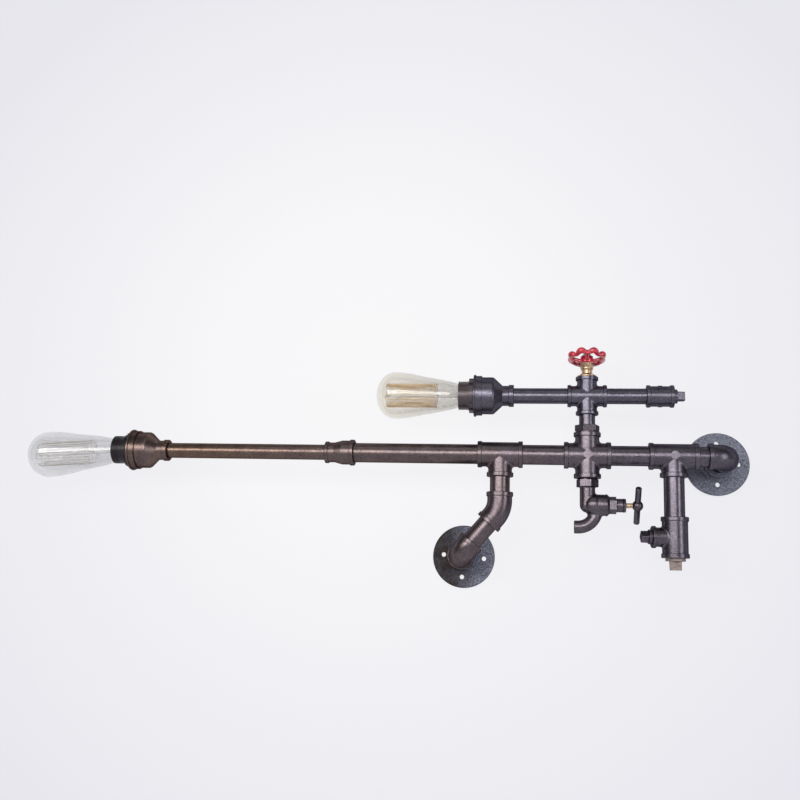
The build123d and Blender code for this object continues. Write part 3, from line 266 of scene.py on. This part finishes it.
pipe_iron = dark_iron("pipe_iron", 1.0, 380, 0.00006, (0.15, 1, 1))
cast_iron = dark_iron("cast_iron", 0.9, 460, 0.0002)
looks = {
    "black_pipe": pipe_iron,
    "black_fitting": cast_iron,
    "flange_iron": slate_iron(),
    "bare_plug": plain("bare_iron", (142, 129, 124), (110, 99, 95), 0.4, 0.6, 120, 0.0003, Metallic=0.5),
    "holder_plastic": holder_black(),
    "ceramic": plain("ceramic", (226, 222, 212), (206, 202, 192), 0.4, 0.5, 60, 0.0001),
    "contact_brass": plain("contact_brass", (206, 172, 96), (160, 128, 70), 0.25, 0.4, 200, 0.0001,
                           Metallic=1.0),
    "valve_brass": plain("valve_brass", (200, 174, 146), (134, 112, 88), 0.26, 0.42, 190, 0.0002,
                         Metallic=0.9),
    "red_enamel": plain("red_enamel", (202, 20, 52), (142, 11, 37), 0.16, 0.3, 150, 0.0004,
                        Coat_Weight=0.8, Coat_Roughness=0.08),
    "nut_steel": plain("nut_steel", (150, 148, 146), (110, 106, 104), 0.3, 0.45, 200, 0.0001,
                       Metallic=1.0),
    "cap_steel": plain("cap_steel", (196, 194, 188), (168, 166, 160), 0.2, 0.3, 160, 0.0001,
                       Metallic=1.0),
    "mount_glass": plain("mount_glass", (250, 250, 248), (236, 236, 234), 0.15, 0.3, 120, 0.0001,
                         Transmission_Weight=0.1),
    "filament": plain("filament_wire", (222, 196, 152), (192, 164, 120), 0.3, 0.45, 300, 0.0001,
                      Metallic=0.6),
    "lead_rubber": plain("lead_rubber", (28, 28, 28), (40, 40, 40), 0.5, 0.7, 200, 0.0002),
}
own_looks = {
    "lower_bulb_glass": clear_glass("dusty_glass", (241, 241, 241), (229, 229, 230), -0.98, -0.86),
    "upper_bulb_glass": clear_glass("clear_glass", (244, 241, 235), (218, 217, 215), -0.47, -0.36),
    "lower_bulb_filament": plain("pale_wire", (205, 198, 186), (160, 150, 138), 0.3, 0.45, 300, 0.0001,
                                 Metallic=0.5),
}
for entry in frame["record"]["subparts"]:
    node = nodes[entry["node"]]
    node.data.materials.clear()
    node.data.materials.append(own_looks.get(node.name) or looks[entry["material_slot"]])
    for polygon in node.data.polygons:
        polygon.use_smooth = True


# Pieces made here: two castings in place of plainer solids, and the fine insides of the bulbs

def add_tube(mesh, points, radii, up, sides, closed=False):
    """A tube through points, round them with radii; up is never along the tube."""
    rings = []
    for i, point in enumerate(points):
        before = points[i - 1] if i or closed else point
        after = points[(i + 1) % len(points)] if i + 1 < len(points) or closed else point
        across = (after - before).cross(up).normalized()
        over = across.cross(after - before).normalized()
        ring = []
        for k in range(sides):
            turn = 2 * math.pi * k / sides
            outward = across * math.cos(turn) + over * math.sin(turn)
            ring.append(mesh.verts.new(point + radii[i] * outward))
        rings.append(ring)
    pairs = list(zip(rings, rings[1:]))
    if closed:
        pairs.append((rings[-1], rings[0]))
    else:
        mesh.faces.new(rings[0])
        mesh.faces.new(reversed(rings[-1]))
    for first, second in pairs:
        for k in range(sides):
            mesh.faces.new((first[k - 1], second[k - 1], second[k], first[k]))


def add_lathe(mesh, middle, profile, sides=64):
    """A closed profile of (radius, height) turned round the upright line through middle."""
    turns = [2 * math.pi * k / sides for k in range(sides)]
    rings = [[mesh.verts.new(middle + Vector((r * math.cos(t), r * math.sin(t), z))) for t in turns]
             for r, z in profile]
    for i, ring in enumerate(rings):
        for k in range(sides):
            mesh.faces.new((ring[k - 1], ring[k], rings[i - 1][k], rings[i - 1][k - 1]))


def piece(name, mesh, body, material, stands_for, voxel=None):
    """The finished mesh as a piece on its body; voxel melts its parts into one casting."""
    bmesh.ops.recalc_face_normals(mesh, faces=mesh.faces)
    data = bpy.data.meshes.new(name)
    mesh.to_mesh(data)
    mesh.free()
    made = bpy.data.objects.new(name, data)
    scene.collection.objects.link(made)
    if voxel:
        melt = made.modifiers.new("melt", "REMESH")
        melt.mode = "VOXEL"
        melt.voxel_size = voxel
        smooth = made.modifiers.new("smooth", "SMOOTH")
        smooth.iterations = 5
        smooth.factor = 0.6
        solid = bpy.data.meshes.new_from_object(made.evaluated_get(bpy.context.evaluated_depsgraph_get()))
        made.modifiers.clear()
        made.data = solid
        bpy.data.meshes.remove(data)
        solid.name = name
    made.data.materials.clear()
    made.data.materials.append(material)
    for polygon in made.data.polygons:
        polygon.use_smooth = True
    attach(made, body)
    if stands_for:
        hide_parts(stands_for)


def make_handwheel():
    """Cast wheel: a wavy rim of eight lobes on four raked spokes, a little askew on its spindle."""
    low, high = (Vector(corner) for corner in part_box("handwheel"))
    foot = Vector(((low.x + high.x) / 2, (low.y + high.y) / 2, low.z))
    lobes, spokes, askew = 8, 4, math.tan(math.radians(13))
    rim_r, rim_z, rim_thick = 0.0216, 0.007, 0.0036
    wave_out, wave_up, wave_thick = 0.0011, 0.0014, 0.0008
    hub_r, hub_z, spoke_rise, spoke_thick, spoke_waist = 0.0062, 0.0032, 0.0034, 0.0031, 0.0006
    rim_steps, spoke_steps = 192, 12
    up = Vector((0, 0, 1))
    mesh = bmesh.new()

    def lean(radius, turn, height):
        """A point of the wheel, tipped with it round the middle of its foot."""
        point = Vector((radius * math.cos(turn), radius * math.sin(turn), height))
        return foot + point + Vector((0, 0, -askew * point.y))

    turns = [2 * math.pi * i / rim_steps for i in range(rim_steps)]
    waves = [-math.cos(lobes * turn) for turn in turns]
    rim = [lean(rim_r + wave_out * wave, turn, rim_z + wave_up * wave) for turn, wave in zip(turns, waves)]
    add_tube(mesh, rim, [rim_thick + wave_thick * wave for wave in waves], up, 20, closed=True)
    shares = [i / spoke_steps for i in range(spoke_steps + 1)]
    thicks = [spoke_thick - spoke_waist * math.sin(math.pi * along) for along in shares]
    for spoke in range(spokes):
        turn = 2 * math.pi / spokes * spoke
        arm = [lean(hub_r + (rim_r - hub_r) * along, turn,
                    hub_z + spoke_rise * along * along * (3 - 2 * along)) for along in shares]
        add_tube(mesh, arm, thicks, up, 16)
    add_lathe(mesh, foot, [(0.0036, 0), (0.0072, 0), (0.0082, 0.0012), (0.0086, 0.0092), (0.0078, 0.01),
                           (0.0066, 0.0086), (0.0036, 0.0086)])
    piece("handwheel_casting", mesh, "valve_wheel", looks["red_enamel"], "handwheel", 0.00045)


def cage_box(bulb):
    """The lowest and highest corners of a bulb's filament, and its middle."""
    low, high = (Vector(corner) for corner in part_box(f"{bulb}_bulb_filament"))
    return low, high, (low + high) / 2


def make_cage(bulb, material, strands, wire, gap):
    """Fine filament wire between the two rings of supports, with none in the gap that faces forward.

    gap is half the gap's angle. The strands beside it start short, where the drop of glass shows.
    """
    low, high, middle = cage_box(bulb)
    inset, steps, shortened, deepest, golden = 0.0004, 8, 0.3, 0.3, 0.618
    ring_r = (high.z - low.z) / 2 - inset
    near, far = low.x + inset, high.x - inset
    slant = 0.35 * math.pi / strands
    mesh = bmesh.new()
    for strand in range(strands):
        angle = 2 * math.pi * (strand + 0.25) / strands
        from_front = abs(angle - math.pi)
        if from_front < gap:
            continue
        start = near + shortened * (far - near) if from_front < 2 * gap else near
        bow = deepest * ring_r * (golden * strand % 1)
        points = []
        for i in range(steps + 1):
            along = i / steps
            turn = angle + slant * (2 * along - 1)
            reach = ring_r - bow * math.sin(math.pi * along)
            points.append(Vector((start + (far - start) * along, middle.y + reach * math.cos(turn),
                                  middle.z + reach * math.sin(turn))))
        add_tube(mesh, points, [wire] * len(points), Vector((0, math.cos(angle), math.sin(angle))), 6)
    piece(f"{bulb}_cage_wire", mesh, f"{bulb}_bulb", material, None)


def make_button(bulb, start, end, thick):
    """The drop of glass near the end of the stem, from start to end as shares of the cage."""
    low, high, middle = cage_box(bulb)
    stem_r, steps = 0.0014, 24
    mesh = bmesh.new()
    points, radii = [], []
    for i in range(steps + 1):
        along = i / steps
        share = start + (end - start) * along
        points.append(Vector((low.x + (high.x - low.x) * share, middle.y, middle.z)))
        radii.append(stem_r + (thick - stem_r) * math.sin(math.pi * along ** 0.6) ** 1.3)
    add_tube(mesh, points, radii, Vector((0, 0, 1)), 24)
    piece(f"{bulb}_stem_button", mesh, f"{bulb}_bulb", looks["mount_glass"], None)


def make_tap_body():
    """The tap body with the turn from its neck into the spout rounded, as cast."""
    mesh = bmesh.new()
    mesh.from_mesh(nodes["tap_body"].data)
    neck_low, neck_high = (Vector(corner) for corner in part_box("riser_nipple"))
    neck = (neck_low + neck_high) / 2
    turn = Vector((neck.x - 0.001, neck.y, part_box("tap_body")[0][2] + 0.0381))
    knuckle = Matrix.Translation(turn) @ Matrix.Diagonal((0.0092, 0.0102, 0.0102, 1))
    bmesh.ops.create_icosphere(mesh, subdivisions=4, radius=1, matrix=knuckle)
    piece("tap_body_casting", mesh, "pipework", cast_iron, "tap_body", 0.0005)


make_handwheel()
make_tap_body()
make_cage("upper", looks["filament"], 88, 0.00017, 0.3)
make_cage("lower", own_looks["lower_bulb_filament"], 24, 0.00014, 0)
make_button("upper", 0.02, 0.34, 0.0066)
make_button("lower", 0.04, 0.22, 0.0032)


def make_backdrop():
    """A pale wall that runs out into a floor, unseen from behind and from below.

    The camera, metal and glass see mostly its own colour, and the rest of it takes light and shadow. Its
    colour is a painted pool of light: lightest round the object, darker and bluer towards the edges.
    """
    wall_y, floor_z, bend, width, reach, top = 0.002, -0.85, 0.25, 3.2, 4.0, 2.2
    steps = 16
    profile = [(wall_y, top), (wall_y, floor_z + bend)]
    for i in range(1, steps + 1):
        angle = math.pi / 2 * i / steps
        profile.append((wall_y - bend * (1 - math.cos(angle)), floor_z + bend * (1 - math.sin(angle))))
    profile.append((-reach, floor_z))
    mesh = bmesh.new()
    rows = [[mesh.verts.new((x, y, z)) for x in (-width, width)] for y, z in profile]
    for first, second in zip(rows, rows[1:]):
        mesh.faces.new((first[0], second[0], second[1], first[1])).smooth = True
    data = bpy.data.meshes.new("backdrop")
    mesh.to_mesh(data)
    mesh.free()
    backdrop = bpy.data.objects.new("backdrop", data)
    scene.collection.objects.link(backdrop)
    m = Nodes("backdrop", Roughness=0.9, Specular_IOR_Level=0.1)
    # Painted pool of light: the wall's colour is lightest near the object and darker and bluer further
    # from it.
    centre = m.add("ShaderNodeVectorMath", operation="DISTANCE")
    m.link(m.add("ShaderNodeTexCoord").outputs["Object"], centre.inputs[0])
    centre.inputs[1].default_value = (-0.5, 0, 0.13)
    painted_light_falloff = m.fade(centre.outputs["Value"], 0, 0.85)
    colour = m.ramp(painted_light_falloff, (0.0, linear(248, 248, 249)), (0.28, linear(246, 246, 248)),
                    (0.6, linear(239, 239, 243)), (0.95, linear(231, 231, 237)))
    m.link(colour, m.shader.inputs["Base Color"])
    glow = m.add("ShaderNodeEmission")
    glow.inputs["Strength"].default_value = 0.995
    m.link(colour, glow.inputs["Color"])
    path = m.add("ShaderNodeLightPath")
    seen = m.calc("MAXIMUM", path.outputs["Is Camera Ray"],
                  m.calc("MAXIMUM", path.outputs["Is Glossy Ray"], path.outputs["Is Transmission Ray"]))
    lit = m.add("ShaderNodeMixShader")
    m.link(m.calc("MULTIPLY", seen, 0.93), lit.inputs[0])
    m.link(m.shader.outputs[0], lit.inputs[1])
    m.link(glow.outputs[0], lit.inputs[2])
    back = m.add("ShaderNodeMixShader")
    m.link(m.add("ShaderNodeNewGeometry").outputs["Backfacing"], back.inputs[0])
    m.link(lit.outputs[0], back.inputs[1])
    m.link(m.add("ShaderNodeBsdfTransparent").outputs[0], back.inputs[2])
    m.link(back.outputs[0], m.output.inputs["Surface"])
    data.materials.append(m.material)


make_backdrop()


def soft_box(name, place, aim, size, power, colour):
    """A rectangular lamp at place, turned to aim."""
    light = bpy.data.lights.new(name, "AREA")
    light.shape = "RECTANGLE"
    light.size, light.size_y = size
    light.energy = power
    light.color = colour
    lamp = bpy.data.objects.new(name, light)
    scene.collection.objects.link(lamp)
    lamp.location = place
    lamp.rotation_euler = (Vector(aim) - Vector(place)).to_track_quat("-Z", "Y").to_euler()


# Light: a broad soft box in front, a weak one at the side and one on top, and an even pale world.
# A white card in front of the wall renders as about 1.03.
soft_box("key", (-0.8, -1.75, 0.3), (-0.6, 0, 0.0), (2.2, 0.6), 28, (1.0, 0.985, 0.975))
soft_box("side", (1.15, -1.15, 0.06), (-0.2, 0, 0), (0.3, 0.9), 7, (0.95, 0.96, 1.0))
soft_box("top", (-0.5, -1.2, 1.6), (-0.4, 0, 0), (1.6, 1.0), 4, (1.0, 0.99, 0.97))
world = bpy.data.worlds.new("world")
scene.world = world
world.use_nodes = True
sky = world.node_tree.nodes["Background"]
sky.inputs["Color"].default_value = linear(244, 245, 250)
sky.inputs["Strength"].default_value = 0.22

scene.view_settings.view_transform = "Standard"
